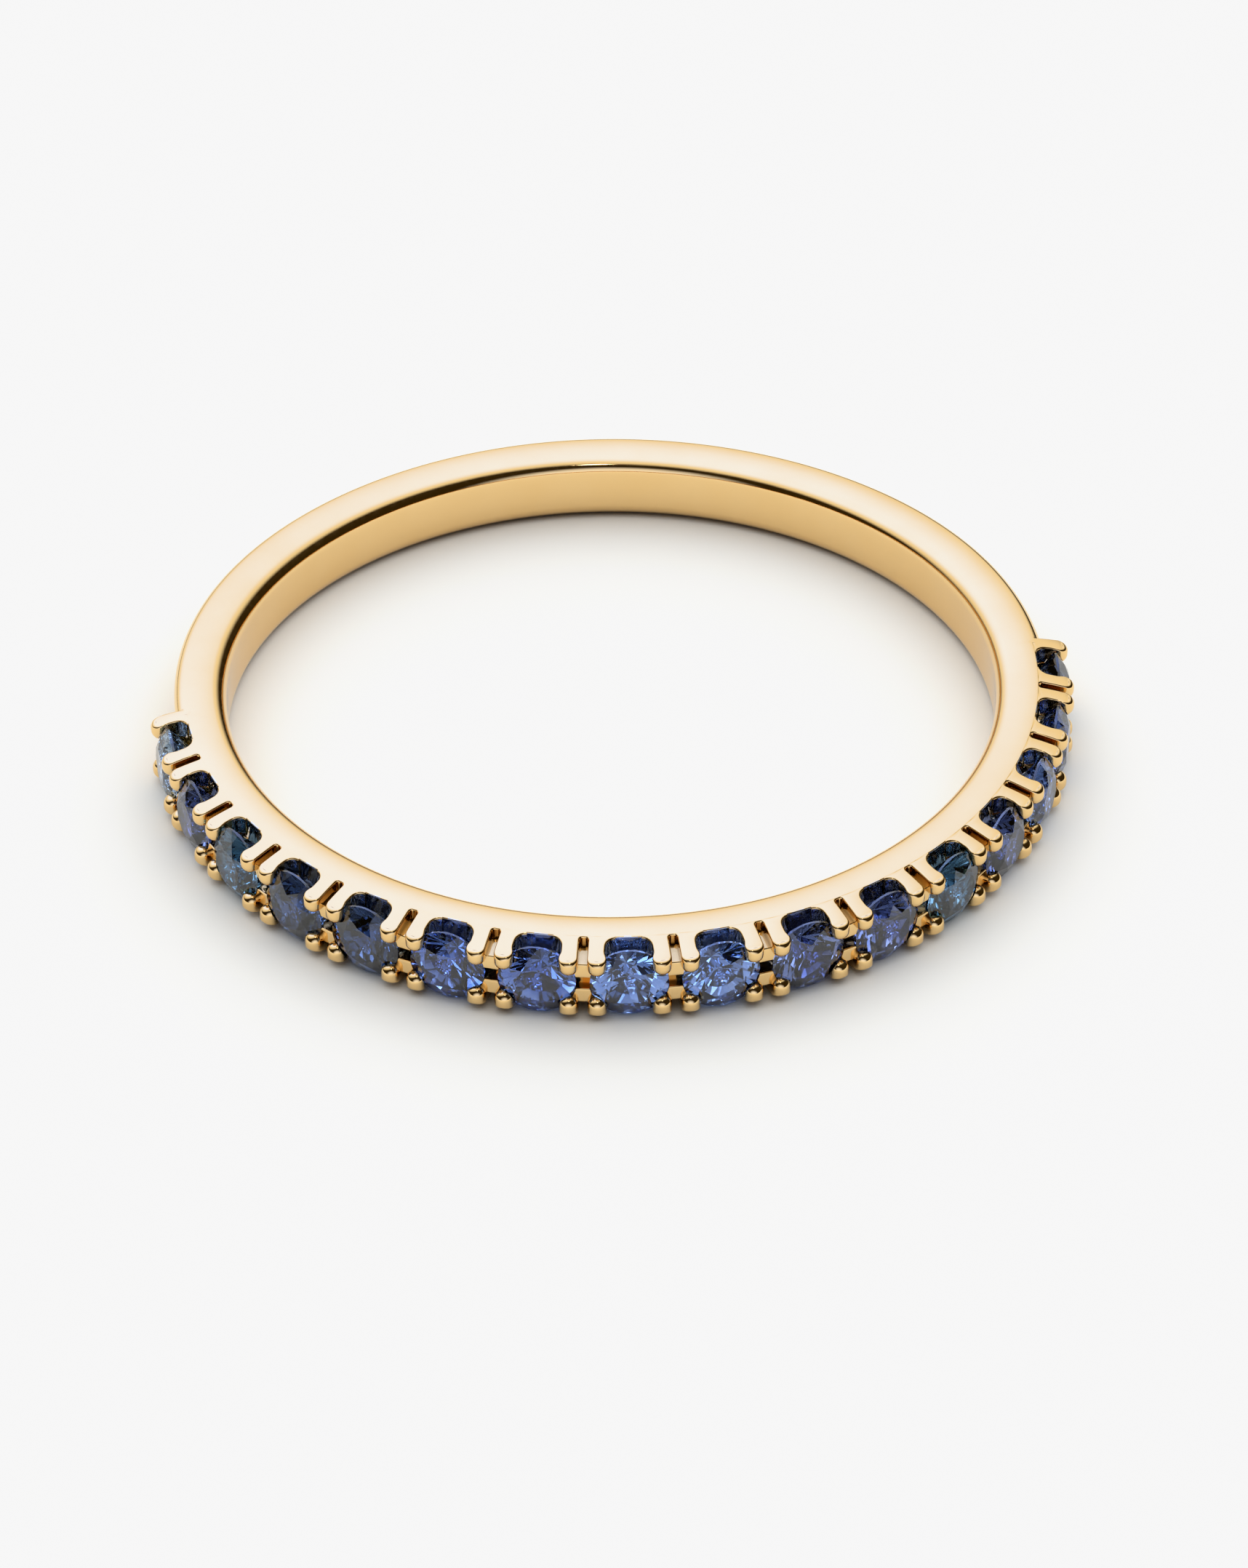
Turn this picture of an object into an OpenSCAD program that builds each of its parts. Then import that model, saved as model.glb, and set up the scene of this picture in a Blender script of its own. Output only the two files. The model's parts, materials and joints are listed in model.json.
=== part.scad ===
// Half eternity ring in yellow gold, with one row of round brilliant sapphires
// Millimetres. The finger hole runs along Z through the origin, at the middle of the
// ring's width, and the middle of the row of stones faces -Y.

/* [Ring] */
// Diameter of the finger hole
finger_d = 17.35; // [15.5:0.05:21.5]
// Margin of the ring's side faces beyond the stones
side_margin = 0.045; // [0:0.005:0.15]
// Width of the ring along the finger, at the back of the shank
back_w = 1.6; // [1.2:0.01:1.8]
// Thickness of the shank, from the finger hole outwards
shank_t = 1.18; // [1:0.02:1.8]
// Rounding of the edges at the finger hole
inner_round = 0.38; // [0.1:0.01:0.45]
// Rounding of the shank's outer edges
outer_round = 0.24; // [0.05:0.01:0.4]

/* [Stones] */
// Number of stones in the row
stone_count = 16; // [6:1:16]
// Diameter of each stone at its girdle
stone_d = 1.7; // [1.5:0.02:1.8]
// Gap between the girdles of neighbouring stones
stone_gap = 0.29; // [0.24:0.01:0.5]
// Height of the girdles above the finger hole's wall
girdle_h = 1.39; // [1.3:0.01:1.6]
// Diameter of the table
table_d = 0.92; // [0.7:0.02:1.1]
// Height of the crown, from the girdle to the table
crown_h = 0.25; // [0.15:0.01:0.3]
// Thickness of the girdle
girdle_t = 0.05; // [0.02:0.01:0.08]
// Depth of the pavilion, from the girdle to the culet
pavilion_h = 0.73; // [0.6:0.01:0.8]
// Gap between each stone and its seat
seat_gap = 0.03; // [0.02:0.005:0.05]

/* [Setting] */
// Thickness of the floor that the prongs stand on, from the finger hole outwards
base_t = 0.96; // [0.6:0.02:1.1]
// Reach of the prongs outwards from the girdles
prong_over = 0.37; // [0.25:0.01:0.45]
// Reach of each prong inwards over the edge of its stone
prong_bite = 0.54; // [0.45:0.01:0.62]
// Width of each prong along the row
prong_w = 0.42; // [0.3:0.01:0.46]
// Slot between the prongs of neighbouring stones
slot_w = 0.2; // [0.15:0.01:0.3]
// Fall of the prongs' tips below the ring's side face
tip_fall = 0.15; // [0.04:0.01:0.2]
// Rounding of the prongs' tips
tip_round = 0.14; // [0.08:0.01:0.18]
// Reach of the bridges between neighbouring stones, outwards from the girdles
bridge_over = 0.09; // [0:0.01:0.15]
// Length of the bridges along the row
bridge_w = 0.52; // [0.4:0.01:0.6]
// Height of the opening between the upper and the lower bridges
bridge_gap = 0.3; // [0.2:0.01:0.5]
// Depth of the bridges' outer edges below the ring's side faces
bridge_drop = 0.39; // [0.34:0.01:0.5]
// Depth of the bridges' roots below the ring's side faces
bridge_root = 0.28; // [0.2:0.01:0.34]

/* [Hidden] */

fn_ring = 180;
fn_seat = 48;
fn_prong = 24;
// A cut runs this far past the face that it opens
over = 0.5;

finger_r = finger_d / 2;
shank_r = finger_r + shank_t;
base_r = finger_r + base_t;
girdle_r = finger_r + girdle_h;
prong_r = girdle_r + prong_over;
bridge_r = girdle_r + bridge_over;

stone_r = stone_d / 2;
half_w = stone_r + side_margin;
ring_w = 2 * half_w;
table_r = table_d / 2;
table_z = girdle_t + crown_h;
// One step of the row, from the chord between neighbouring girdles' centres
pitch = 2 * asin((stone_d + stone_gap) / 2 / girdle_r);
// A prong's centre line runs beside its slot's, at this distance
prong_off = (slot_w + prong_w) / 2;
// The prongs' inner faces, and the rounding that their thickness leaves room for
prong_z = stone_r - prong_bite;
tip_r = min(tip_round, (half_w - prong_z - tip_fall) / 2 - 0.01);
// The upper face starts to slope towards the back just behind the last prongs
slope_y = max(0, -prong_r * cos(stone_count * pitch / 2)) + prong_off + prong_w;

function stone_name(i) = str("stone_", i < 10 ? "0" : "", i);
function stone_angle(i) = -90 + (i - (stone_count + 1) / 2) * pitch;
function slot_angle(k) = -90 + (k - stone_count / 2) * pitch;
function ring_of(n, r, z, turn = 0) = [
    for (i = [0:n - 1]) [r * cos(360 * i / n + turn), r * sin(360 * i / n + turn), z]
];

// Cut of the stone: 8 stars and bezels on the crown, 8 mains on the pavilion.
// The star corners lie on the bezels' planes and the lower corners on the mains' planes.
mains = 8;
sides = 2 * mains;
half_step = 360 / sides;
star_r = table_r + 0.42 * (stone_r - table_r);
star_z = table_z - crown_h * (star_r * cos(half_step) - table_r) / (stone_r - table_r);
low_r = 0.24 * stone_r;
low_z = -pavilion_h * (1 - low_r * cos(half_step) / stone_r);

// A stone with its culet towards -Z and its girdle's lower edge at Z = 0
module brilliant() {
    table_pts = ring_of(mains, table_r, table_z);
    star_pts = ring_of(mains, star_r, star_z, half_step);
    upper_pts = ring_of(sides, stone_r, girdle_t);
    lower_pts = ring_of(sides, stone_r, 0);
    low_pts = ring_of(mains, low_r, low_z, half_step);
    star_0 = mains;
    upper_0 = star_0 + mains;
    lower_0 = upper_0 + sides;
    low_0 = lower_0 + sides;
    culet = low_0 + mains;
    polyhedron(
        points = concat(table_pts, star_pts, upper_pts, lower_pts, low_pts, [[0, 0, -pavilion_h]]),
        faces = concat(
            [[for (i = [mains - 1:-1:0]) i]],
            [for (i = [0:mains - 1]) let (j = (i + 1) % mains) [i, j, star_0 + i]],
            [for (i = [0:mains - 1]) let (h = (i + mains - 1) % mains)
                [i, star_0 + i, upper_0 + 2 * i, star_0 + h]],
            [for (i = [0:mains - 1]) [star_0 + i, upper_0 + 2 * i + 1, upper_0 + 2 * i]],
            [for (i = [0:mains - 1])
                [star_0 + i, upper_0 + (2 * i + 2) % sides, upper_0 + 2 * i + 1]],
            [for (i = [0:sides - 1]) let (j = (i + 1) % sides)
                [upper_0 + i, upper_0 + j, lower_0 + j, lower_0 + i]],
            [for (i = [0:mains - 1]) [low_0 + i, lower_0 + 2 * i, lower_0 + 2 * i + 1]],
            [for (i = [0:mains - 1])
                [low_0 + i, lower_0 + 2 * i + 1, lower_0 + (2 * i + 2) % sides]],
            [for (i = [0:mains - 1]) let (h = (i + mains - 1) % mains)
                [culet, low_0 + h, lower_0 + 2 * i, low_0 + i]]
        )
    );
}

// Turns a piece built along Z to point outwards from the finger hole at an angle
module outward(angle, r = 0) {
    rotate([0, 0, angle])
        translate([r, 0, 0])
            rotate([0, 90, 0])
                children();
}

// The space that a stone and its gap take out of the band
module seat() {
    rotate_extrude($fn = fn_seat)
        polygon([
            [0, -pavilion_h - 2 * seat_gap],
            [stone_r + seat_gap, -seat_gap / 2],
            [stone_r + seat_gap, girdle_t],
            [star_r + seat_gap, star_z + seat_gap / 2],
            [table_r + seat_gap, table_z + seat_gap],
            [table_r + seat_gap, table_z + over],
            [0, table_z + over]
        ]);
}

// Section of the shank, with round edges
module shank_section() {
    mid_r = finger_r + shank_t / 2;
    union() {
        translate([finger_r + inner_round, -half_w])
            square([shank_t - inner_round - outer_round, ring_w]);
        translate([finger_r, -half_w + inner_round])
            square([mid_r - finger_r, ring_w - 2 * inner_round]);
        translate([mid_r, -half_w + outer_round])
            square([shank_r - mid_r, ring_w - 2 * outer_round]);
        for (side = [-1, 1]) {
            translate([finger_r + inner_round, side * (half_w - inner_round)])
                circle(r = inner_round, $fn = fn_prong);
            translate([shank_r - outer_round, side * (half_w - outer_round)])
                circle(r = outer_round, $fn = fn_prong);
        }
    }
}

// Section of the rim that the prongs are cut from: flat at the side face,
// falling towards the tip, and round at the tip
module prong_section() {
    tip_z = half_w - tip_fall;
    polygon([
        [base_r - over, prong_z],
        [prong_r - tip_r, prong_z],
        [prong_r - 0.3 * tip_r, prong_z + 0.3 * tip_r],
        [prong_r, prong_z + tip_r],
        [prong_r, tip_z - tip_r],
        [prong_r - 0.3 * tip_r, tip_z - 0.3 * tip_r],
        [prong_r - tip_r, tip_z],
        [base_r + prong_w / 2, half_w],
        [base_r - over, half_w]
    ]);
}

// Plan of one prong, from inside the floor to its round tip
module prong_plan() {
    union() {
        translate([base_r - over / 2, -prong_w / 2])
            square([prong_r - prong_w / 2 - base_r + over / 2, prong_w]);
        translate([prong_r - prong_w / 2, 0])
            circle(d = prong_w, $fn = fn_prong);
    }
}

// Both prongs beside each slot, and one at each end of the row, on both sides of the ring
module prongs() {
    intersection() {
        union()
            for (k = [0:stone_count], side = [-1, 1])
                if (k + side >= 0 && k + side <= stone_count)
                    rotate([0, 0, slot_angle(k)])
                        translate([0, side * prong_off, -half_w - over])
                            linear_extrude(height = ring_w + 2 * over)
                                prong_plan();
        union()
            for (flip = [0, 180])
                rotate([flip, 0, 0])
                    rotate_extrude($fn = fn_ring)
                        prong_section();
    }
}

// Section of an upper bridge: from its root in the floor it falls outwards to its outer edge
module bridge_section() {
    polygon([
        [base_r - over / 2, bridge_gap / 2],
        [bridge_r, bridge_gap / 2],
        [bridge_r, half_w - bridge_drop],
        [base_r, half_w - bridge_root],
        [base_r - over / 2, half_w - bridge_root]
    ]);
}

// An upper and a lower bridge between neighbouring stones, with an opening between the two
module bridges() {
    for (k = [0:stone_count], flip = [0, 180])
        rotate([0, 0, slot_angle(k)])
            rotate([90 + flip, 0, 0])
                linear_extrude(height = bridge_w, center = true)
                    bridge_section();
}

// The part of the shank outside the floor that the row of stones takes the place of.
// It ends inside the first and last prongs, so that the shank runs into them.
module row_relief() {
    cut_r = max(prong_r, shank_r) + over;
    end_turn = asin(prong_off / base_r);
    rotate([0, 0, slot_angle(0) + end_turn])
        rotate_extrude(angle = stone_count * pitch - 2 * end_turn, $fn = fn_ring)
            translate([base_r, -half_w - over])
                square([cut_r - base_r, ring_w + 2 * over]);
}

// What is cut away above the upper face, which slopes down towards the back
module back_slope() {
    far_y = shank_r + over;
    far_z = half_w - (ring_w - back_w) * (far_y - slope_y) / (shank_r - slope_y);
    rotate([90, 0, 90])
        linear_extrude(height = 2 * far_y, center = true)
            polygon([
                [slope_y, half_w],
                [far_y, far_z],
                [far_y, half_w + over],
                [slope_y, half_w + over]
            ]);
}

// Shank, prongs and bridges, cast in one piece
module band() {
    color("gold")
        difference() {
            union() {
                difference() {
                    rotate_extrude($fn = fn_ring)
                        shank_section();
                    row_relief();
                }
                prongs();
                bridges();
            }
            for (i = [1:stone_count])
                outward(stone_angle(i), girdle_r)
                    seat();
            back_slope();
        }
}

module stone(i) {
    color("royalblue")
        outward(stone_angle(i), girdle_r)
            brilliant();
}

band();
for (i = [1:stone_count])
    stone(i);
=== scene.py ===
"""A half eternity ring in polished yellow gold with one row of round brilliant sapphires, lying on its side.

The finger hole runs along Z through the origin. The middle of the row of stones faces -Y and the back of
the shank is at +Y. Lengths are metres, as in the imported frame.
"""
import json
import math

import bmesh
import bpy
from bpy.props import FloatProperty, IntProperty, PointerProperty
from mathutils import Matrix, Vector


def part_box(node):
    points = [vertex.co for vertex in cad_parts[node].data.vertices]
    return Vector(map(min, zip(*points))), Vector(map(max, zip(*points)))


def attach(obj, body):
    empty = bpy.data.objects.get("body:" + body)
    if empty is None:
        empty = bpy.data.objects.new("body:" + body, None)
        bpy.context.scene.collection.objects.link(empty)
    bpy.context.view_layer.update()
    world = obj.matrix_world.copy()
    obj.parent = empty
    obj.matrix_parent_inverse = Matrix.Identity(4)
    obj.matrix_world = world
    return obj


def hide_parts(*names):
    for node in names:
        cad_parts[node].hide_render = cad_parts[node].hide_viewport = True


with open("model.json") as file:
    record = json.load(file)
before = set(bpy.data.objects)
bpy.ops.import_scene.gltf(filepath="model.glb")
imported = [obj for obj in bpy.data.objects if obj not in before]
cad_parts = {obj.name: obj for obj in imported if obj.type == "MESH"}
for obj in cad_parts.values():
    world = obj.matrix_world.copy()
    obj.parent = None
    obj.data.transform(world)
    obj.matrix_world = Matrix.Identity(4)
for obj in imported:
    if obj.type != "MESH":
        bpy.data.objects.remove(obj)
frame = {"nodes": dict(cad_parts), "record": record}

bl_info = {
    "name": "Half Eternity Ring",
    "version": (1, 0, 0),
    "blender": (4, 5, 0),
    "location": "3D Viewport > Sidebar > Ring",
    "description": "Builds a polished half eternity ring with brilliant-cut stones, and a stage for it",
    "category": "Add Mesh",
}

MM = 0.001
BODY = "root"
STONE_NODES = sorted(name for name in frame["nodes"] if name.startswith("stone_"))
BAND_LOW, BAND_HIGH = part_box("band")
HALF_WIDTH = -BAND_LOW.z
HOLE = next(mount for mount in frame["record"]["mounts"] if mount["name"] == "finger_hole")
# Width of the picture that the camera was fitted to, in pixels
PICTURE_W = 1716
# How far the roots of the prongs and bridges reach into the floor
ROOT_DEPTH = 0.2 * MM
# How far from the floor's edge, inside for a prong and outside for a bridge, the straight root ends
ROOT_EDGE = 0.04 * MM
# Faces that meet at more than this stay sharp
SHARP_ANGLE = math.radians(32)
# A band with fewer faces than this has lost a piece
LEAST_FACES = 1000


def stone_place(node):
    """Where a stone sits: its direction round the hole, and what its girdle, table and culet measure."""
    points = [v.co for v in frame["nodes"][node].data.vertices]
    middle = sum(points, Vector()) / len(points)
    angle = math.atan2(middle.y, middle.x)
    outward = Vector((math.cos(angle), math.sin(angle), 0))
    far = [(p - outward * p.dot(outward)).length for p in points]
    girdle_r = max(far)
    heights = [p.dot(outward) for p in points]
    at_girdle = [h for h, f in zip(heights, far) if f > 0.99 * girdle_r]
    table = [f for h, f in zip(heights, far) if h > max(heights) - 0.01 * MM]
    return {
        "angle": angle,
        "base": min(at_girdle),
        "radius": girdle_r,
        "girdle": max(at_girdle) - min(at_girdle),
        "table_r": max(table),
        "crown": max(heights) - max(at_girdle),
        "pavilion": min(at_girdle) - min(heights),
    }


PLACES = [stone_place(name) for name in STONE_NODES]
FIRST = PLACES[0]
STEP = (PLACES[-1]["angle"] - FIRST["angle"]) / (len(PLACES) - 1)


def length(name, description, default):
    """A length in metres, for a property group."""
    return FloatProperty(
        name=name,
        description=description,
        default=default,
        min=0.0,
        unit="LENGTH",
        subtype="DISTANCE",
        precision=5,
    )


class RingSizes(bpy.types.PropertyGroup):
    """Sizes of the band's gold."""

    finger_r: length("Finger Hole Radius", "Radius of the finger hole", HOLE["dims"]["r_mm"] * MM)
    half_w: length("Half Width", "Half of the ring's width along the finger", HALF_WIDTH)
    shank_r: length("Shank Radius", "Outer radius of the plain shank", BAND_HIGH.y)
    floor_r: length("Floor Radius", "Outer radius of the floor that the prongs stand on", 9.635 * MM)
    back_fall: length("Back Fall", "Fall of the upper face from the row to the back", 0.19 * MM)
    inner_round: length("Inner Rounding", "Rounding of the edges at the finger hole", 0.38 * MM)
    outer_round: length("Outer Rounding", "Rounding of the shank's outer edges", 0.24 * MM)
    floor_round: length("Floor Rounding", "Rounding of the scallops' upper edge", 0.035 * MM)
    crown_turn: FloatProperty(
        name="Crown Turn",
        description="How far the side faces lean at their edges",
        default=math.radians(8),
        subtype="ANGLE",
    )
    prong_r: length("Prong Radius", "Radius that the prongs' tips reach", -BAND_LOW.y)
    prong_w: length("Prong Width", "Width of each prong at its tip", 0.42 * MM)
    prong_waist: length("Prong Waist", "How much narrower each prong is behind its tip", 0.05 * MM)
    prong_under: length("Prong Underside", "Height of the prongs' inner faces above mid width", 0.31 * MM)
    under_round: length("Underside Rounding", "Rounding of the prongs' inner edges", 0.185 * MM)
    prong_fall: length("Prong Fall", "Fall of the prongs' tips below the side face", 0.17 * MM)
    slot_w: length("Slot Width", "Width of the slot between two stones' prongs", 0.2 * MM)
    tip_round: length("Tip Rounding", "Rounding over the prongs' tips", 0.13 * MM)
    edge_round: length("Edge Rounding", "Rounding along the prongs' sides", 0.045 * MM)
    slot_fillet: length("Slot Fillet", "Fillet at a prong's root in the slot", 0.08 * MM)
    scallop_fillet: length("Scallop Fillet", "Fillet at a prong's root beside the stone", 0.24 * MM)
    bridge_r: length("Bridge Radius", "Radius that the bridges between stones reach", 10.155 * MM)
    bridge_w: length("Bridge Width", "Length of the bridges along the row", 0.52 * MM)
    bridge_gap: length("Bridge Gap", "Height of the opening between upper and lower bridges", 0.3 * MM)
    bridge_drop: length("Bridge Drop", "Depth of the bridges' outer edges below the side face", 0.39 * MM)
    bridge_root: length("Bridge Root", "Depth of the bridges' roots below the side face", 0.28 * MM)
    bridge_round: length("Bridge Rounding", "Rounding of the bridges' edges", 0.03 * MM)
    seat_gap: length("Seat Gap", "Gap between each stone and its seat", 0.02 * MM)


class StoneSizes(bpy.types.PropertyGroup):
    """Cut of the sapphires."""

    girdle_sides: IntProperty(
        name="Girdle Sides",
        description="Sides of the turned girdle",
        default=96,
        min=32,
    )
    star_share: FloatProperty(
        name="Star Length",
        description="Share of the crown that the stars take",
        default=0.5,
        min=0.3,
        max=0.65,
    )
    lower_share: FloatProperty(
        name="Lower Facet End",
        description="Share of the radius that the lower facets leave",
        default=0.24,
        min=0.15,
    )


class StageSizes(bpy.types.PropertyGroup):
    """Camera and light."""

    distance: length("Camera Distance", "From the camera to the middle of the upper face", 163.95 * MM)
    lift: FloatProperty(name="Camera Height Angle", default=math.radians(35.944), subtype="ANGLE")
    turn: FloatProperty(name="Camera Turn", default=math.radians(7.705), subtype="ANGLE")
    yaw: FloatProperty(name="Camera Yaw", default=-0.00167, subtype="ANGLE")
    pitch: FloatProperty(name="Camera Pitch", default=-0.01528, subtype="ANGLE")
    roll: FloatProperty(name="Camera Roll", default=math.radians(0.312), subtype="ANGLE")
    focal_px: FloatProperty(
        name="Focal Length",
        description="In pixels of the picture that was fitted",
        default=10000.0,
    )


# Helpers for objects and meshes


def new_object(name, data):
    """Links an object for a mesh or a camera."""
    obj = bpy.data.objects.new(name, data)
    bpy.context.scene.collection.objects.link(obj)
    return obj


def new_mesh(name, points, faces):
    """A mesh from points and faces, with its normals outwards."""
    mesh = bpy.data.meshes.new(name)
    mesh.from_pydata([tuple(p) for p in points], [], faces)
    work = bmesh.new()
    work.from_mesh(mesh)
    bmesh.ops.recalc_face_normals(work, faces=work.faces)
    work.to_mesh(mesh)
    work.free()
    return mesh


def plain_copy(obj, name):
    """The evaluated object as a plain mesh object. The object with its modifiers is removed."""
    bpy.context.view_layer.update()
    graph = bpy.context.evaluated_depsgraph_get()
    mesh = bpy.data.meshes.new_from_object(obj.evaluated_get(graph))
    mesh.name = name
    bpy.data.objects.remove(obj)
    return new_object(name, mesh)


def smooth_by_angle(mesh, limit):
    """Smooth shading, with sharp edges where faces meet at more than the limit."""
    work = bmesh.new()
    work.from_mesh(mesh)
    for face in work.faces:
        face.smooth = True
    for edge in work.edges:
        edge.smooth = not edge.is_manifold or edge.calc_face_angle() < limit
    work.to_mesh(mesh)
    work.free()


# The band


def arc(start, end, count):
    """Evenly spaced angles from start to end, both ends included."""
    return [start + (end - start) * i / count for i in range(count + 1)]


def crown_middle(sizes):
    """Radius of the side face's highest line, midway between the roundings."""
    return (sizes.finger_r + sizes.inner_round + sizes.shank_r - sizes.outer_round) / 2


def crown_bend(sizes, corner):
    """Radius of the crowned side face on the side of a corner's rounding."""
    reach = (sizes.shank_r - sizes.outer_round - sizes.finger_r - sizes.inner_round) / 2
    return reach / math.sin(sizes.crown_turn) + corner


def crown_height(sizes, radius):
    """Height of the slightly crowned side face at a radius near the floor's edge."""
    bend = crown_bend(sizes, sizes.outer_round)
    lean = math.asin((radius - crown_middle(sizes)) / bend)
    return sizes.half_w - bend * (1 - math.cos(lean))


def upper_section(sizes, at_row):
    """The upper half of the band's section, from the hole's wall over the side face to the outer wall.

    It is a list of radii and heights. At the row the outer wall is the floor that the prongs stand on.
    """
    middle = crown_middle(sizes)
    lean = sizes.crown_turn
    in_bend = crown_bend(sizes, sizes.inner_round)
    in_top = sizes.half_w - in_bend * (1 - math.cos(lean))
    in_mid = (sizes.finger_r + sizes.inner_round, in_top - sizes.inner_round * math.cos(lean))
    wall = [(sizes.finger_r, in_mid[1] * share) for share in (0, 0.5)]
    corner = [
        (in_mid[0] - sizes.inner_round * math.sin(t), in_mid[1] + sizes.inner_round * math.cos(t))
        for t in arc(math.pi / 2, lean, 14)
    ]
    crown = [
        (middle - in_bend * math.sin(t), sizes.half_w - in_bend * (1 - math.cos(t)))
        for t in arc(lean, 0, 3)[1:]
    ]
    if at_row:
        edge = sizes.floor_round
        edge_r = sizes.floor_r - edge
        out_bend = crown_bend(sizes, sizes.outer_round)
        lean = math.asin((edge_r - middle) / out_bend)
        outer_r = sizes.floor_r
    else:
        edge = sizes.outer_round
        out_bend = crown_bend(sizes, edge)
        outer_r = sizes.shank_r
        edge_r = outer_r - edge
    out_top = sizes.half_w - out_bend * (1 - math.cos(lean))
    out_mid_z = out_top - edge * math.cos(lean)
    crown += [
        (middle + out_bend * math.sin(t), sizes.half_w - out_bend * (1 - math.cos(t)))
        for t in arc(0, lean, 4)[1:-1]
    ]
    outer = [
        (edge_r + edge * math.sin(t), out_mid_z + edge * math.cos(t))
        for t in arc(lean, math.pi / 2, 10)
    ]
    return wall + corner + crown + outer + [(outer_r, out_mid_z / 2)]


def shank_ring(sizes):
    """The shank and the floor of the row: one section carried round the hole."""
    plain = upper_section(sizes, at_row=False)
    floor = upper_section(sizes, at_row=True)
    prong_off = (sizes.slot_w + sizes.prong_w) / 2
    inset = math.asin(prong_off / sizes.floor_r)
    row_start = FIRST["angle"] - STEP / 2 + inset
    row_end = PLACES[-1]["angle"] + STEP / 2 - inset
    # The floor steps up to the shank within this turn
    gap = math.radians(0.02)
    row_steps, shank_steps = 200, 240
    stations = [(t, floor) for t in arc(row_start, row_end, row_steps)]
    stations += [(t, plain) for t in arc(row_end + gap, row_start - gap + 2 * math.pi, shank_steps)]
    points = []
    for angle, section in stations:
        loop = [(r, z, True) for r, z in section] + [(r, -z, False) for r, z in reversed(section[1:])]
        share = max(0.0, math.sin(angle))
        fall = sizes.back_fall * share * share * (3 - 2 * share)
        for r, z, upper in loop:
            if upper:
                z *= 1 - fall / sizes.half_w
            points.append((r * math.cos(angle), r * math.sin(angle), z))
    size = len(points) // len(stations)
    faces = []
    for i in range(len(stations)):
        for j in range(size):
            here, there = i * size, (i + 1) % len(stations) * size
            after = (j + 1) % size
            faces.append((here + j, there + j, there + after, here + after))
    return new_object("shank", new_mesh("shank", points, faces))


def prong_top(sizes, radius):
    """Height of a prong's upper face: it carries on from the side face and falls to the tip."""
    start = sizes.floor_r
    if radius <= start:
        # The root dips just under the side face, so that the two faces don't share a plane
        dip, dip_run = 0.008 * MM, 0.06 * MM
        return crown_height(sizes, radius) - dip * min(1.0, (start - radius) / dip_run)
    step = 0.01 * MM
    slope = (crown_height(sizes, start) - crown_height(sizes, start - step)) / step
    reach = sizes.prong_r - sizes.tip_round - start
    rest = sizes.half_w - sizes.prong_fall - crown_height(sizes, start) - slope * reach
    run = min(radius - start, reach)
    fall_power = 1.5
    return crown_height(sizes, start) + slope * run + rest * (run / reach) ** fall_power


def prong_side(sizes, fillet, waist):
    """One side of a prong's plan, from its root to its tip: points with their outward directions."""
    half = sizes.prong_w / 2
    tip_u = sizes.prong_r - half
    fillet_turn = math.radians(80)
    swell = 0.2 * MM
    root_v = half - waist + fillet * (1 - math.cos(fillet_turn))
    side = [((sizes.floor_r - depth, root_v), (0, 1)) for depth in (ROOT_DEPTH, ROOT_EDGE)]
    for t in arc(fillet_turn, 0, 6):
        u = sizes.floor_r + fillet * (1 - math.sin(t))
        v = half - waist + fillet * (1 - math.cos(t))
        side.append(((u, v), (math.sin(t), math.cos(t))))
    swell_start = tip_u - swell
    for share in (0.3, 0.6, 1.0):
        u = sizes.floor_r + fillet + (swell_start - sizes.floor_r - fillet) * share
        side.append(((u, half - waist), (0, 1)))
    for share in (0.25, 0.5, 0.75):
        ease = share * share * (3 - 2 * share)
        lean = -waist * 6 * share * (1 - share) / swell
        side.append(((swell_start + swell * share, half - waist * (1 - ease)), (lean, 1)))
    for t in arc(math.pi / 2, 0, 9)[:-1]:
        side.append(((tip_u + half * math.cos(t), half * math.sin(t)), (math.cos(t), math.sin(t))))
    return side


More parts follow.
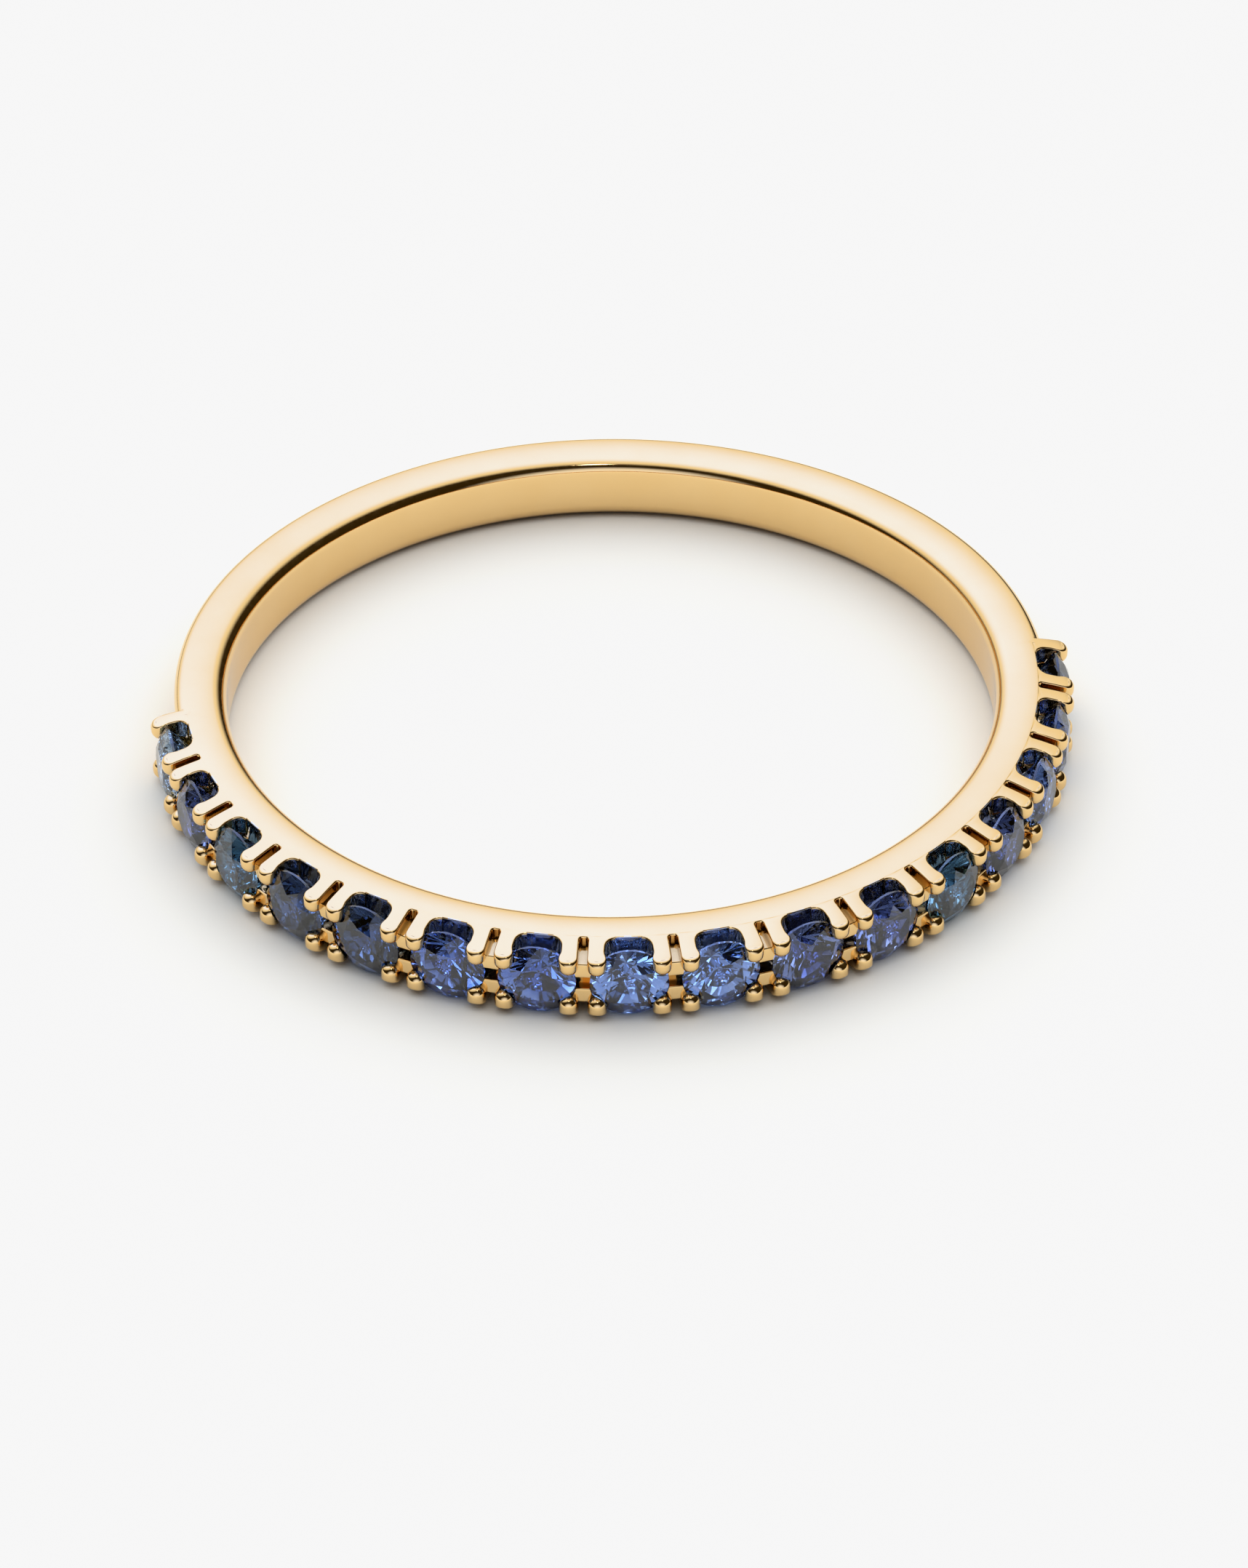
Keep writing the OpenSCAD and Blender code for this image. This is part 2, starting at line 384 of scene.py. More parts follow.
def prong(sizes):
    """One prong, with its outward direction along +X, beside the slot that lies along the X axis."""
    slot_side = prong_side(sizes, sizes.slot_fillet, 0)
    stone_side = prong_side(sizes, sizes.scallop_fillet, sizes.prong_waist)
    tip = [((sizes.prong_r, 0), (1, 0))]
    outline = slot_side + tip + [((u, -v), (a, -b)) for (u, v), (a, b) in reversed(stone_side)]
    offset = -(sizes.slot_w + sizes.prong_w) / 2
    under_tip = 1.15 * sizes.under_round
    steps = 6
    levels = [(-1, t) for t in arc(math.pi / 2, 0, steps)] + [(1, t) for t in arc(0, math.pi / 2, steps)]
    points = []
    for end, t in levels:
        for (u, v), (a, b) in outline:
            scale = math.hypot(a, b)
            a, b = a / scale, b / scale
            forward = max(0.0, a) ** 2 if u > sizes.prong_r - sizes.prong_w / 2 else 0.0
            if end > 0:
                side_round, tip_round = sizes.edge_round, sizes.tip_round
            else:
                side_round, tip_round = sizes.under_round, under_tip
            bend = side_round + (tip_round - side_round) * forward
            inset = bend * (1 - math.cos(t))
            u2, v2 = u - a * inset, v - b * inset + offset
            if end > 0:
                z = prong_top(sizes, math.hypot(u2, v2)) - bend * (1 - math.sin(t))
            else:
                z = sizes.prong_under + bend * (1 - math.sin(t))
            points.append((u2, v2, z))
    size = len(outline)
    faces = []
    for i in range(len(levels) - 1):
        for j in range(size - 1):
            a = i * size + j
            faces.append((a, a + 1, a + size + 1, a + size))
        a = i * size
        faces.append((a, a + size, a + 2 * size - 1, a + size - 1))
    half = size // 2
    for base in (0, (len(levels) - 1) * size):
        for j in range(half - 1):
            faces.append((base + j, base + j + 1, base + size - 2 - j, base + size - 1 - j))
        faces.append((base + half - 1, base + half, base + half + 1))
    mesh = new_mesh("prong", points, faces)
    mesh.transform(Matrix.Rotation(STEP / 2, 4, "Z"))
    return new_object("prongs", mesh)


def bridge(sizes):
    """One upper bridge, in the slot that lies along the X axis. It falls outwards from its root."""
    root_r = sizes.floor_r - ROOT_DEPTH
    root_z = sizes.half_w - sizes.bridge_root
    low_z = sizes.bridge_gap / 2
    section = [
        (root_r, low_z),
        (sizes.bridge_r, low_z),
        (sizes.bridge_r, sizes.half_w - sizes.bridge_drop),
        (sizes.floor_r + ROOT_EDGE, root_z),
        (root_r, root_z),
    ]
    work = bmesh.new()
    outline = work.faces.new([work.verts.new((r, -sizes.bridge_w / 2, z)) for r, z in section])
    pushed = bmesh.ops.extrude_face_region(work, geom=[outline])
    far = [part for part in pushed["geom"] if isinstance(part, bmesh.types.BMVert)]
    bmesh.ops.translate(work, vec=(0, sizes.bridge_w, 0), verts=far)
    bmesh.ops.bevel(
        work, geom=work.edges[:], offset=sizes.bridge_round, segments=3, profile=0.5, affect="EDGES"
    )
    bmesh.ops.recalc_face_normals(work, faces=work.faces)
    mesh = bpy.data.meshes.new("bridge")
    work.to_mesh(mesh)
    work.free()
    return new_object("bridges", mesh)


def seat(sizes):
    """The space that a stone and its gap take out of the gold, with the stone's axis along +X."""
    cut = stone_cut(FIRST)
    gap = sizes.seat_gap
    # The bore runs outwards past the prongs' tips
    clear = 0.6 * MM
    # One more ring near the rim, a little deeper than a plain cone, keeps the pavilion's facets clear
    bend_r, bend_z, bend_spare = 0.78, 0.22, 0.39
    profile = [
        (0, -cut["pavilion"] - 2 * gap),
        (bend_r * (cut["radius"] + gap), -bend_z * (cut["pavilion"] + 2 * gap) - bend_spare * gap),
        (cut["radius"] + gap, -gap / 2),
        (cut["radius"] + gap, cut["girdle"]),
        (cut["star_r"] + gap, cut["star_z"] + gap / 2),
        (cut["table_r"] + gap, cut["top"] + gap),
        (cut["table_r"] + gap, cut["top"] + clear),
        (0, cut["top"] + clear),
    ]
    sides = 72
    points = [(0, 0, profile[0][1])]
    for r, z in profile[1:-1]:
        points += [(r * math.cos(t), r * math.sin(t), z) for t in arc(0, 2 * math.pi, sides)[:-1]]
    points.append((0, 0, profile[-1][1]))
    faces = []
    for j in range(sides):
        after = (j + 1) % sides
        faces.append((0, 1 + after, 1 + j))
        for ring in range(len(profile) - 3):
            a, b = 1 + ring * sides, 1 + (ring + 1) * sides
            faces.append((a + j, a + after, b + after, b + j))
        last = 1 + (len(profile) - 3) * sides
        faces.append((last + j, last + after, len(points) - 1))
    mesh = new_mesh("seat", points, faces)
    mesh.transform(Matrix.Translation((FIRST["base"], 0, 0)) @ Matrix.Rotation(math.pi / 2, 4, "Y"))
    return new_object("seats", mesh)


def mark_seats(mesh, sizes):
    """Marks the faces under a stone with their share of white plating, which is small near the rim."""
    reach = FIRST["radius"] + 1.5 * sizes.seat_gap
    rim_depth = 0.2 * FIRST["pavilion"]
    bore_share, rim_share = 1.0, 0.15
    facing_out = 0.2
    marks = mesh.attributes.new("seat", "FLOAT", "FACE")
    shares = []
    for face in mesh.polygons:
        angle = math.atan2(face.center.y, face.center.x)
        near = min(PLACES, key=lambda place: abs(math.remainder(place["angle"] - angle, 2 * math.pi)))
        outward = Vector((math.cos(near["angle"]), math.sin(near["angle"]), 0))
        height = face.center.dot(outward)
        inside = (face.center - outward * height).length < reach
        deep = near["base"] - near["pavilion"] - 3 * sizes.seat_gap < height < near["base"]
        plating = bore_share if height < near["base"] - rim_depth else rim_share
        shares.append(plating if inside and deep and face.normal.dot(outward) > facing_out else 0.0)
    marks.data.foreach_set("value", shares)


# The tree that repeats a piece round the finger hole


def add(tree, kind, settings=None, links=None, values=None):
    """Adds a node with its settings, the values of its own sockets, and the links into it."""
    node = tree.nodes.new(kind)
    for name, value in (settings or {}).items():
        setattr(node, name, value)
    for key, value in (values or {}).items():
        node.inputs[key].default_value = value
    for key, source in (links or {}).items():
        tree.links.new(source, node.inputs[key])
    return node


def repeat_tree():
    """Geometry Nodes: mirrors a piece if asked, and sets copies of it round the finger hole."""
    tree = bpy.data.node_groups.new("Repeat Round Finger Hole", "GeometryNodeTree")
    face = tree.interface
    face.new_socket("Geometry", in_out="INPUT", socket_type="NodeSocketGeometry")
    face.new_socket("Count", in_out="INPUT", socket_type="NodeSocketInt")
    face.new_socket("First Angle", in_out="INPUT", socket_type="NodeSocketFloat")
    face.new_socket("Step Angle", in_out="INPUT", socket_type="NodeSocketFloat")
    face.new_socket("Mirror Along Row", in_out="INPUT", socket_type="NodeSocketBool")
    face.new_socket("Mirror Across Width", in_out="INPUT", socket_type="NodeSocketBool")
    face.new_socket("Material", in_out="INPUT", socket_type="NodeSocketMaterial")
    face.new_socket("Geometry", in_out="OUTPUT", socket_type="NodeSocketGeometry")
    given = add(tree, "NodeGroupInput").outputs
    shape = given["Geometry"]
    for wish, scale in (("Mirror Along Row", (1, -1, 1)), ("Mirror Across Width", (1, 1, -1))):
        turned = add(tree, "GeometryNodeTransform", links={"Geometry": shape}, values={"Scale": scale})
        flipped = add(tree, "GeometryNodeFlipFaces", links={"Mesh": turned.outputs["Geometry"]})
        both = add(tree, "GeometryNodeJoinGeometry", links={"Geometry": shape})
        tree.links.new(flipped.outputs["Mesh"], both.inputs["Geometry"])
        choice = add(
            tree,
            "GeometryNodeSwitch",
            {"input_type": "GEOMETRY"},
            {"Switch": given[wish], "False": shape, "True": both.outputs["Geometry"]},
        )
        shape = choice.outputs["Output"]
    line = add(tree, "GeometryNodeMeshLine", links={"Count": given["Count"]}, values={"Offset": (0, 0, 0)})
    index = add(tree, "GeometryNodeInputIndex")
    turn = add(
        tree,
        "ShaderNodeMath",
        {"operation": "MULTIPLY_ADD"},
        {0: index.outputs["Index"], 1: given["Step Angle"], 2: given["First Angle"]},
    )
    about_z = add(tree, "ShaderNodeCombineXYZ", links={"Z": turn.outputs["Value"]})
    copies = add(
        tree,
        "GeometryNodeInstanceOnPoints",
        links={"Points": line.outputs["Mesh"], "Instance": shape, "Rotation": about_z.outputs["Vector"]},
    )
    real = add(tree, "GeometryNodeRealizeInstances", links={"Geometry": copies.outputs["Instances"]})
    dressed = add(
        tree,
        "GeometryNodeSetMaterial",
        links={"Geometry": real.outputs["Geometry"], "Material": given["Material"]},
    )
    add(tree, "NodeGroupOutput", links={"Geometry": dressed.outputs["Geometry"]})
    return tree


def repeated(obj, tree, name, values):
    """The piece repeated by the tree, as a plain mesh object."""
    modifier = obj.modifiers.new("repeat", "NODES")
    modifier.node_group = tree
    sockets = {item.name: item.identifier for item in tree.interface.items_tree if item.in_out == "INPUT"}
    for key, value in values.items():
        modifier[sockets[key]] = value
    return plain_copy(obj, name)


# The stones


def stone_cut(place):
    """The stone's sizes from its place, with where the star facets end."""
    cut = {key: place[key] for key in ("radius", "girdle", "table_r", "crown", "pavilion")}
    share = bpy.context.scene.stone_sizes.star_share
    cut["top"] = cut["girdle"] + cut["crown"]
    cut["star_r"] = cut["table_r"] + share * (cut["radius"] - cut["table_r"])
    slope = cut["crown"] / (cut["radius"] - cut["table_r"])
    cut["star_z"] = cut["girdle"] + slope * (cut["radius"] - cut["star_r"] * math.cos(math.pi / 8))
    return cut


def facet_planes(cut, lower_share):
    """Every facet of a round brilliant as a point on its plane and the plane's outward direction."""
    eighth = math.pi / 4
    half, quarter = eighth / 2, eighth / 4
    planes = [((0, 0, cut["top"]), (0, 0, 1))]

    def facet(turn, reach, height, rise):
        """A plane through a point at a reach and height, rising towards the axis by the rise."""
        tilt = math.atan(rise)
        across, up = abs(math.sin(tilt)), math.copysign(math.cos(tilt), rise)
        point = (reach * math.cos(turn), reach * math.sin(turn), height)
        planes.append((point, (across * math.cos(turn), across * math.sin(turn), up)))

    bezel = cut["crown"] / (cut["radius"] - cut["table_r"])
    star_edge = cut["table_r"] * math.cos(half)
    star = (cut["top"] - cut["star_z"]) / (cut["star_r"] - star_edge)
    upper = (cut["star_z"] - cut["girdle"]) / (cut["radius"] - cut["star_r"] * math.cos(quarter))
    main = cut["pavilion"] / cut["radius"]
    low_r = lower_share * cut["radius"]
    low_z = cut["pavilion"] - main * low_r * math.cos(half)
    lower = low_z / (cut["radius"] - low_r * math.cos(quarter))
    for k in range(8):
        facet(k * eighth, cut["radius"], cut["girdle"], bezel)
        facet(k * eighth + half, star_edge, cut["top"], star)
        facet(k * eighth, cut["radius"], 0, -main)
        for side in (-quarter, quarter):
            facet(k * eighth + side, cut["radius"], cut["girdle"], upper)
            facet(k * eighth + side, cut["radius"], 0, -lower)
    return planes


def brilliant(name, place, spin, sizes):
    """A round brilliant, cut facet by facet from a turned blank, and set in its place."""
    cut = stone_cut(place)
    spare = 2 * MM
    on_plane, weld = 1e-8, 2e-7
    work = bmesh.new()
    bmesh.ops.create_cone(
        work,
        cap_ends=True,
        segments=sizes.girdle_sides,
        radius1=cut["radius"],
        radius2=cut["radius"],
        depth=spare + cut["top"] + cut["pavilion"],
    )
    for point, direction in facet_planes(cut, sizes.lower_share):
        parts = work.verts[:] + work.edges[:] + work.faces[:]
        result = bmesh.ops.bisect_plane(
            work, geom=parts, dist=on_plane, plane_co=point, plane_no=direction, clear_outer=True
        )
        rim = [part for part in result["geom_cut"] if isinstance(part, bmesh.types.BMEdge)]
        rim = [edge for edge in rim if edge.is_boundary]
        if rim:
            bmesh.ops.contextual_create(work, geom=rim)
    bmesh.ops.remove_doubles(work, verts=work.verts, dist=weld)
    bmesh.ops.recalc_face_normals(work, faces=work.faces)
    mesh = bpy.data.meshes.new(name)
    work.to_mesh(mesh)
    work.free()
    mesh.transform(
        Matrix.Rotation(place["angle"], 4, "Z")
        @ Matrix.Translation((place["base"], 0, 0))
        @ Matrix.Rotation(math.pi / 2, 4, "Y")
        @ Matrix.Rotation(spin, 4, "Z")
    )
    return new_object(name, mesh)


# Materials


def linear(code):
    """An sRGB hex colour as linear red, green and blue."""
    parts = [int(code[i : i + 2], 16) / 255 for i in (1, 3, 5)]
    return [c / 12.92 if c <= 0.04045 else ((c + 0.055) / 1.055) ** 2.4 for c in parts]


def empty_material(name):
    """A material with an empty node tree."""
    material = bpy.data.materials.new(name)
    material.use_nodes = True
    material.node_tree.nodes.clear()
    return material


def noise(tree, where, scale, detail=2.0):
    """Noise of one scale, as a value round a half."""
    values = {"Scale": scale, "Detail": detail}
    return add(tree, "ShaderNodeTexNoise", links={"Vector": where}, values=values).outputs["Fac"]


def blend(tree, share, first, second):
    """Goes from the first colour to the second by a share. Each colour is three numbers or a socket."""
    mix = add(tree, "ShaderNodeMix", {"data_type": "RGBA"}, {0: share})
    for key, colour in ((6, first), (7, second)):
        if isinstance(colour, bpy.types.NodeSocket):
            tree.links.new(colour, mix.inputs[key])
        else:
            mix.inputs[key].default_value = (*colour, 1.0)
    return mix.outputs[2]


def smooth_share(tree, value, low, high):
    """A share that rises smoothly from 0 to 1 while a value goes from low to high."""
    rise = add(
        tree,
        "ShaderNodeMapRange",
        {"interpolation_type": "SMOOTHSTEP"},
        {"Value": value},
        {"From Min": low, "From Max": high},
    )
    return rise.outputs["Result"]


def polished_gold():
    """14 karat yellow gold, cast, then polished to a mirror.

    It reads as a warm mirror. A fine waviness from the polishing wheel bends the reflections a little, and
    faint hairlines blur them. Painted shade darkens the slots and other recesses: ambient occlusion takes
    the base colour towards dark brown there. The seats under the stones have a bright white plating, so
    that the yellow metal doesn't turn the blue grey.
    """
    material = empty_material("14k_yellow_gold_mirror_polished")
    tree = material.node_tree
    where = add(tree, "ShaderNodeTexCoord").outputs["Object"]
    alloy = blend(tree, noise(tree, where, 900.0), linear("#EFC888"), linear("#F2CE92"))
    # Painted shade: the gold goes towards dark brown where ambient occlusion finds slots, scallops and other
    # recesses
    recess_occlusion = add(tree, "ShaderNodeAmbientOcclusion", {"samples": 8}, values={"Distance": 0.3 * MM})
    unshaded_share = add(
        tree,
        "ShaderNodeMapRange",
        links={"Value": recess_occlusion.outputs["AO"]},
        values={"From Min": 0.15, "From Max": 0.6},
    )
    gold_with_painted_shade = blend(tree, unshaded_share.outputs["Result"], linear("#8E6C2C"), alloy)
    seat_mark = add(tree, "ShaderNodeAttribute", {"attribute_name": "seat"})
    plated = blend(tree, seat_mark.outputs["Fac"], gold_with_painted_shade, linear("#DCDDE0"))
    gloss = add(
        tree,
        "ShaderNodeMapRange",
        links={"Value": noise(tree, where, 7000.0, detail=6.0)},
        values={"From Min": 0.35, "From Max": 0.7, "To Min": 0.03, "To Max": 0.11},
    )
    relief = add(
        tree,
        "ShaderNodeBump",
        links={"Height": noise(tree, where, 2600.0)},
        values={"Strength": 0.25, "Distance": 6e-6},
    )
    surface = add(
        tree,
        "ShaderNodeBsdfPrincipled",
        links={
            "Base Color": plated,
            "Roughness": gloss.outputs["Result"],
            "Normal": relief.outputs["Normal"],
        },
        values={"Metallic": 1.0},
    )
    add(tree, "ShaderNodeOutputMaterial", links={"Surface": surface.outputs["BSDF"]})
    return material


# What light keeps in each shade of sapphire: at its faces in clear and in zoned places, and in its depth
SAPPHIRE_SHADES = {
    "mist": {"clear": "#F6F9FF", "zoned": "#D5E0EE", "depth": "#AFC8D8", "density": 800.0},
    "sky": {"clear": "#F2F6FF", "zoned": "#C6D6F0", "depth": "#7CA8D8", "density": 1050.0},
    "cornflower": {"clear": "#EAF1FF", "zoned": "#B2C6EA", "depth": "#6094CE", "density": 1250.0},
    "violet": {"clear": "#E8EDFF", "zoned": "#B0BBE2", "depth": "#6486B8", "density": 1250.0},
    "navy": {"clear": "#DEE9FC", "zoned": "#9DB6D6", "depth": "#5484B0", "density": 1500.0},
    "teal": {"clear": "#E4F3FA", "zoned": "#A9CAD8", "depth": "#609EBA", "density": 1250.0},
}


def sapphire(shade):
    """Blue sapphire, cut and polished, in one shade.

    Light passes into it and comes back from its facets in bright and deep blues. Its colour lies in
    straight zones, which cloud it a little.
    """
    keeps = SAPPHIRE_SHADES[shade]
    material = empty_material("blue_sapphire_" + shade)
    tree = material.node_tree
    where = add(tree, "ShaderNodeTexCoord").outputs["Object"]
    zones = add(
        tree,
        "ShaderNodeTexWave",
        {"bands_direction": "DIAGONAL"},
        {"Vector": where},
        {"Scale": 420.0, "Distortion": 6.0, "Detail": 3.0, "Detail Scale": 2.0},
    )
    tint = blend(tree, zones.outputs["Fac"], linear(keeps["clear"]), linear(keeps["zoned"]))
    surface = add(
        tree,
        "ShaderNodeBsdfPrincipled",
        links={"Base Color": tint},
        values={"Roughness": 0.0, "IOR": 1.77, "Transmission Weight": 1.0},
    )
    depth = add(
        tree,
        "ShaderNodeVolumeAbsorption",
        values={"Color": (*linear(keeps["depth"]), 1.0), "Density": keeps["density"]},
    )
    add(
        tree,
        "ShaderNodeOutputMaterial",
        links={"Surface": surface.outputs["BSDF"], "Volume": depth.outputs["Volume"]},
    )
    return material


# The operators


class RING_OT_band(bpy.types.Operator):
    """Builds the gold band with its prongs, bridges and seats"""

    bl_idname = "ring.build_band"
    bl_label = "Build Band"

    def execute(self, context):
        sizes = context.scene.ring_sizes
        gold = polished_gold()
        tree = repeat_tree()
        around = {"Count": len(PLACES), "First Angle": FIRST["angle"], "Step Angle": STEP, "Material": gold}
        mirrored = {"Mirror Across Width": True}
        between = {"Count": len(PLACES) + 1, "First Angle": FIRST["angle"] - STEP / 2}
        prongs = repeated(prong(sizes), tree, "prongs", {**around, **mirrored, "Mirror Along Row": True})
        bridges = repeated(bridge(sizes), tree, "bridges", {**around, **mirrored, **between})
        seats = repeated(seat(sizes), tree, "seats", around)
        shank = shank_ring(sizes)
        shank.data.materials.append(gold)
        for tool, action in ((prongs, "UNION"), (bridges, "UNION"), (seats, "DIFFERENCE")):
            fuse = shank.modifiers.new(tool.name, "BOOLEAN")
            fuse.operation = action
            fuse.object = tool
            fuse.solver = "MANIFOLD"
        band = plain_copy(shank, "gold_band")
        for tool in (prongs, bridges, seats):
            bpy.data.objects.remove(tool)
        if len(band.data.polygons) < LEAST_FACES:
            raise RuntimeError("the band's pieces did not fuse")
        smooth_by_angle(band.data, SHARP_ANGLE)
        mark_seats(band.data, sizes)
        band.data.materials.clear()
        band.data.materials.append(gold)
        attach(band, BODY)
        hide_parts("band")
        return {"FINISHED"}


# Each stone from left to right: its shade, and the turn of its facets in degrees
STONE_ROW = (
    ("mist", 8),
    ("violet", 31),
    ("teal", 15),
    ("navy", 40),
    ("navy", 3),
    ("cornflower", 22),
    ("cornflower", 36),
    ("sky", 12),
    ("sky", 28),
    ("violet", 5),
    ("violet", 19),
    ("teal", 34),
    ("violet", 10),
    ("sky", 25),
    ("cornflower", 41),
    ("navy", 17),
)


class RING_OT_stones(bpy.types.Operator):
    """Cuts the sapphires and sets one in each seat"""

    bl_idname = "ring.cut_stones"
    bl_label = "Cut Stones"

    def execute(self, context):
        sizes = context.scene.stone_sizes
        shades = {name: sapphire(name) for name in SAPPHIRE_SHADES}
        for node, place, (shade, spin) in zip(STONE_NODES, PLACES, STONE_ROW):
            stone = brilliant(node.replace("stone", "sapphire"), place, math.radians(spin), sizes)
            stone.data.materials.append(shades[shade])
            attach(stone, BODY)
            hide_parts(node)
        return {"FINISHED"}


class RING_OT_stage(bpy.types.Operator):
    """Sets the pale floor, the soft studio light and the camera"""

    bl_idname = "ring.set_stage"
    bl_label = "Set Stage"

    def execute(self, context):
        sizes = context.scene.stage_sizes
        self.lay_floor()
        self.light_dome(sizes)
        self.place_camera(sizes)
        self.set_tone(context.scene)
        return {"FINISHED"}

    def lay_floor(self):
        """A wide white card, at the height that the ring rests on."""
        reach = 2.0
        z = -HALF_WIDTH
        points = [(-reach, -reach, z), (reach, -reach, z), (reach, reach, z), (-reach, reach, z)]
        mesh = bpy.data.meshes.new("floor")
        mesh.from_pydata(points, [], [(0, 1, 2, 3)])
        floor = new_object("floor", mesh)
        card = empty_material("white_studio_card")
        tree = card.node_tree
        where = add(tree, "ShaderNodeTexCoord").outputs["Object"]
        shade = blend(tree, noise(tree, where, 60.0), linear("#F1F1EF"), linear("#F3F3F1"))
        surface = add(
            tree,
            "ShaderNodeBsdfPrincipled",
            links={"Base Color": shade},
            values={"Roughness": 0.9, "Specular IOR Level": 0.0},
        )
        add(tree, "ShaderNodeOutputMaterial", links={"Surface": surface.outputs["BSDF"]})
        mesh.materials.append(card)

    def light_dome(self, sizes):
        """The white studio round the ring.

        Each kind of ray sees a light of its own. Gold mirrors a wide soft box overhead and behind, a low
        light and a small lamp on the camera's side, and the dark between them. The floor takes even light,
        as in a picture with a whitened ground. The stones gather light from broken panels all round, a soft
        window and the lamp.
        """
        world = bpy.data.worlds.new("studio")
        bpy.context.scene.world = world
        world.use_nodes = True
        tree = world.node_tree
        tree.nodes.clear()
        where = add(tree, "ShaderNodeTexCoord").outputs["Generated"]
        turned = add(
            tree,
            "ShaderNodeVectorRotate",
            {"rotation_type": "Z_AXIS"},
            {"Vector": where},
            {"Angle": sizes.turn},
        ).outputs["Vector"]

        def zone(toward, low, high):
            """A share that rises from 0 to 1 towards a direction. The camera looks along +Y."""
            reach = add(tree, "ShaderNodeVectorMath", {"operation": "DOT_PRODUCT"}, {0: turned}, {1: toward})
            return smooth_share(tree, reach.outputs["Value"], low, high)

        # For gold: the soft box has a bluer core, and only the low light shines below the horizon
        dark = (0.03, 0.02, 0.005)
        soft_box = (1.0, 1.0, 0.95)
        box_core = (1.1, 1.4, 2.65)
        low_light = (1.05, 1.15, 1.5)
        box_at = (-0.3, 0.5, 0.81)
        mirrored = blend(tree, zone(box_at, 0.42, 0.72), dark, soft_box)
        mirrored = blend(tree, zone(box_at, 0.7, 0.96), mirrored, box_core)
        mirrored = blend(tree, zone((0, 0, 1), -0.02, 0.1), dark, mirrored)
        mirrored = blend(tree, zone((0, -1, 0), 0.7, 1.0), mirrored, low_light)
        lamp = zone((0.05, -0.42, 0.905), math.cos(math.radians(4.5)), math.cos(math.radians(3)))
        mirrored = blend(tree, lamp, mirrored, (7.0, 7.0, 7.0))
        # For the floor
        even = blend(tree, zone((0, 0.5, 0.87), 0.1, 0.8), (0.1, 0.1, 0.1), (1.65, 1.65, 1.64))
        # For the stones: dim and bright panels hang before the dark
        between = (0.012, 0.012, 0.016)
        dim_panel = (0.78, 0.84, 0.92)
        bright_panel = (4.8, 5.1, 5.5)
        window = (1.3, 1.35, 1.4)
        panels = noise(tree, turned, 4.6, detail=1.0)
        broken = blend(tree, smooth_share(tree, panels, 0.49, 0.53), between, dim_panel)
        broken = blend(tree, smooth_share(tree, panels, 0.6, 0.62), broken, bright_panel)
        broken = blend(tree, zone((0.1, -0.85, 0.52), 0.93, 0.97), broken, window)
        broken = blend(tree, lamp, broken, (25.0, 25.0, 25.0))
        # What gold throws onto the floor is even light, too
        ray = add(tree, "ShaderNodeLightPath").outputs
        mirror_share = add(
            tree,
            "ShaderNodeMath",
            {"operation": "SUBTRACT", "use_clamp": True},
            {0: ray["Is Glossy Ray"], 1: ray["Diffuse Depth"]},
        )
        opaque = blend(tree, mirror_share.outputs["Value"], even, mirrored)
        seen = blend(tree, ray["Is Transmission Ray"], opaque, broken)
        light = add(tree, "ShaderNodeBackground", links={"Color": seen})
        add(tree, "ShaderNodeOutputWorld", links={"Surface": light.outputs["Background"]})

    def place_camera(self, sizes):
        """A long lens, aimed near the middle of the upper face."""
        aim = Vector((0, 0, HALF_WIDTH))
        heading = -math.pi / 2 - sizes.turn
        level = math.cos(sizes.lift)
        back = Vector((level * math.cos(heading), level * math.sin(heading), math.sin(sizes.lift)))
        ahead = -back
        right = ahead.cross(Vector((0, 0, 1))).normalized()
        up = right.cross(ahead)
        spin = Matrix.Rotation(sizes.yaw, 3, up)
        ahead, right = spin @ ahead, spin @ right
        spin = Matrix.Rotation(sizes.pitch, 3, right)
        ahead, up = spin @ ahead, spin @ up
        spin = Matrix.Rotation(sizes.roll, 3, ahead)
        right, up = spin @ right, spin @ up
        data = bpy.data.cameras.new("camera")
        data.sensor_fit = "HORIZONTAL"
        data.sensor_width = 36.0
        data.lens = data.sensor_width * sizes.focal_px / PICTURE_W
        data.clip_start = 0.01
        data.clip_end = 10.0
        camera = new_object("camera", data)
        facing = Matrix((right, up, -ahead)).transposed().to_4x4()
        camera.matrix_world = Matrix.Translation(aim + back * sizes.distance) @ facing
        bpy.context.scene.camera = camera

    def set_tone(self, scene):
        """Plain tones, with the white ground held just under white as in the picture."""
        view = scene.view_settings
        view.view_transform = "Standard"
        view.use_curve_mapping = True
        brightest = 4.0
        view.curve_mapping.white_level = (brightest,) * 3
        shoulder = view.curve_mapping.curves[3]
        for light, shown in ((0.88, 0.88), (0.96, 0.925), (1.2, 0.935), (2.0, 0.95)):
            shoulder.points.new(light / brightest, shown).handle_type = "VECTOR"
        for point in shoulder.points:
            point.handle_type = "VECTOR"
        view.curve_mapping.update()
        scene.cycles.max_bounces = 24
        scene.cycles.transmission_bounces = 20
        scene.cycles.glossy_bounces = 12
        scene.cycles.use_denoising = True


class RING_PT_panel(bpy.types.Panel):
    """Lists the ring's operators and sizes"""

    bl_label = "Half Eternity Ring"
    bl_idname = "RING_PT_panel"
    bl_space_type = "VIEW_3D"
    bl_region_type = "UI"
    bl_category = "Ring"

    def draw(self, context):
        for operator in OPERATORS:
            self.layout.operator(operator.bl_idname)
        for group in GROUPS:
            box = self.layout.box()
            settings = getattr(context.scene, group)
            for name in settings.__annotations__:
                box.prop(settings, name)


OPERATORS = (RING_OT_band, RING_OT_stones, RING_OT_stage)
GROUPS = {"ring_sizes": RingSizes, "stone_sizes": StoneSizes, "stage_sizes": StageSizes}


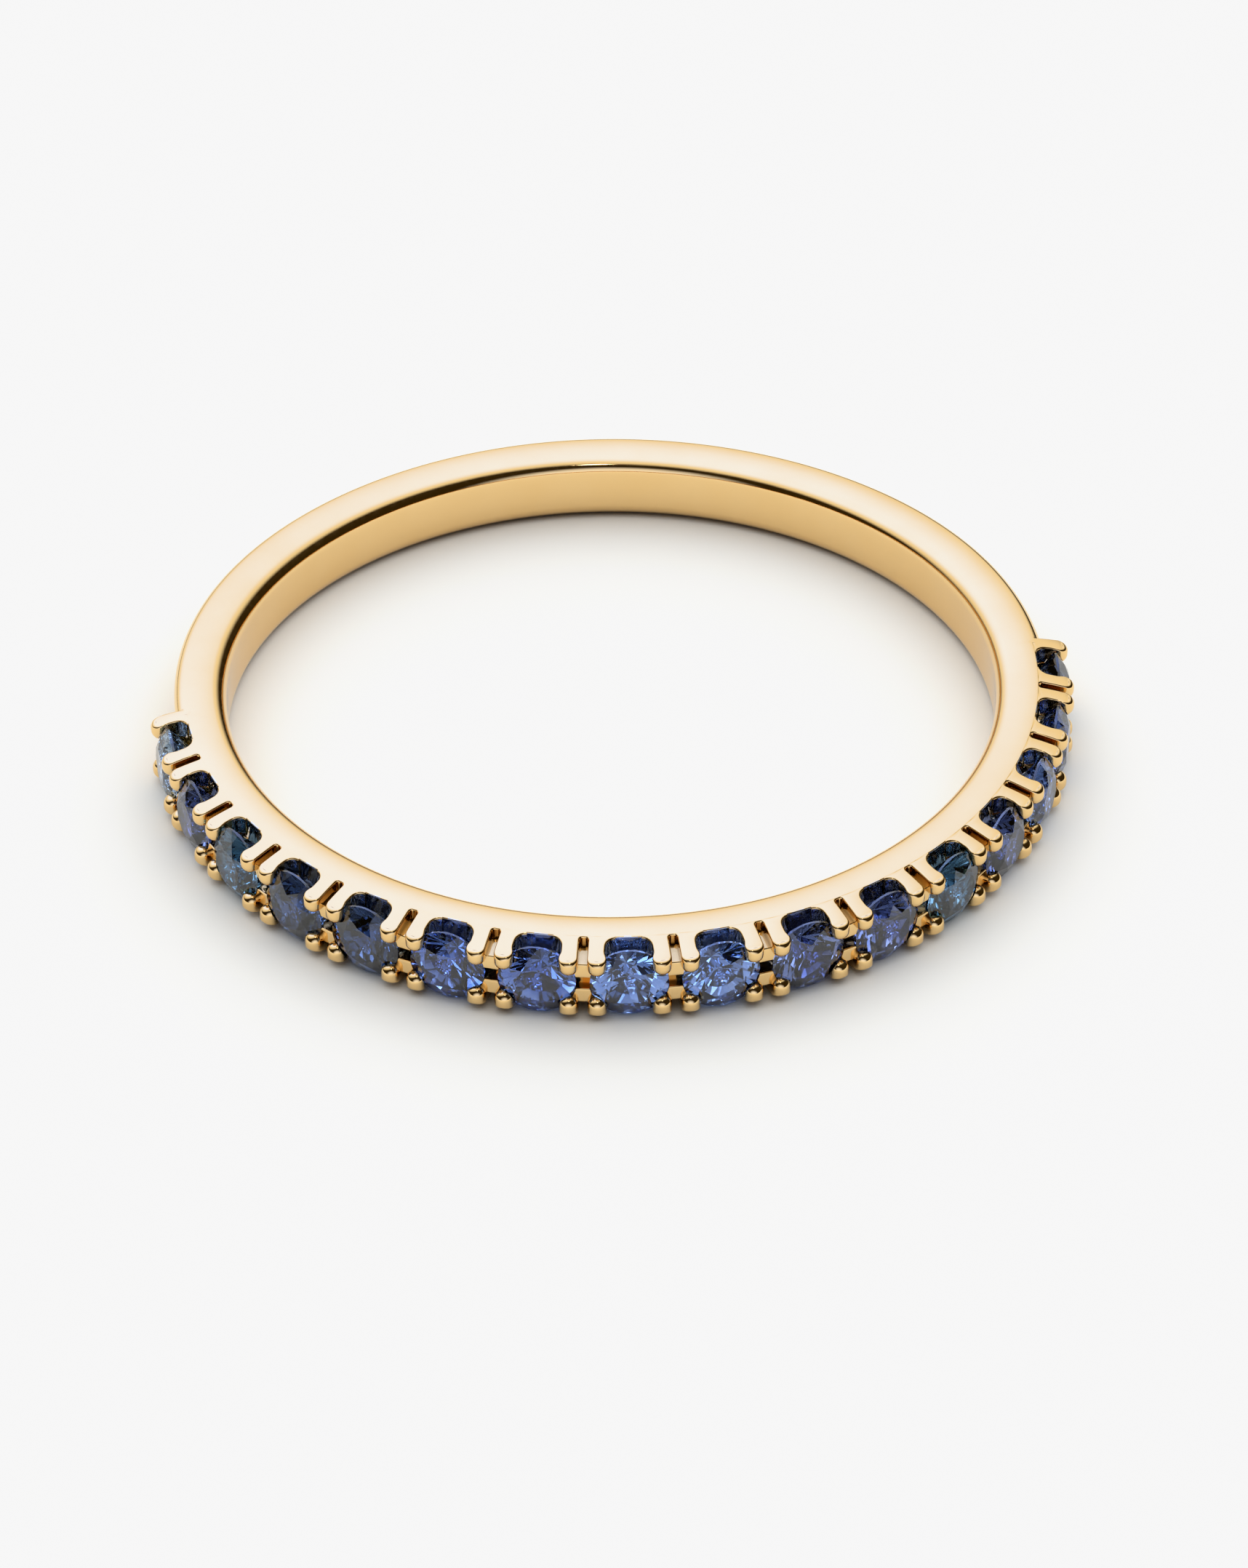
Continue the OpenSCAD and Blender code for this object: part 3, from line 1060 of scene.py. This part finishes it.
def register():
    for group in GROUPS.values():
        bpy.utils.register_class(group)
    for name, group in GROUPS.items():
        setattr(bpy.types.Scene, name, PointerProperty(type=group))
    for kind in OPERATORS + (RING_PT_panel,):
        bpy.utils.register_class(kind)


def unregister():
    for kind in reversed(OPERATORS + (RING_PT_panel,)):
        bpy.utils.unregister_class(kind)
    for name in GROUPS:
        delattr(bpy.types.Scene, name)
    for group in reversed(list(GROUPS.values())):
        bpy.utils.unregister_class(group)


def main():
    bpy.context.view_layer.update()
    register()
    for operator in (bpy.ops.ring.build_band, bpy.ops.ring.cut_stones, bpy.ops.ring.set_stage):
        operator()
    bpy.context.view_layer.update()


if __name__ == "__main__":
    main()
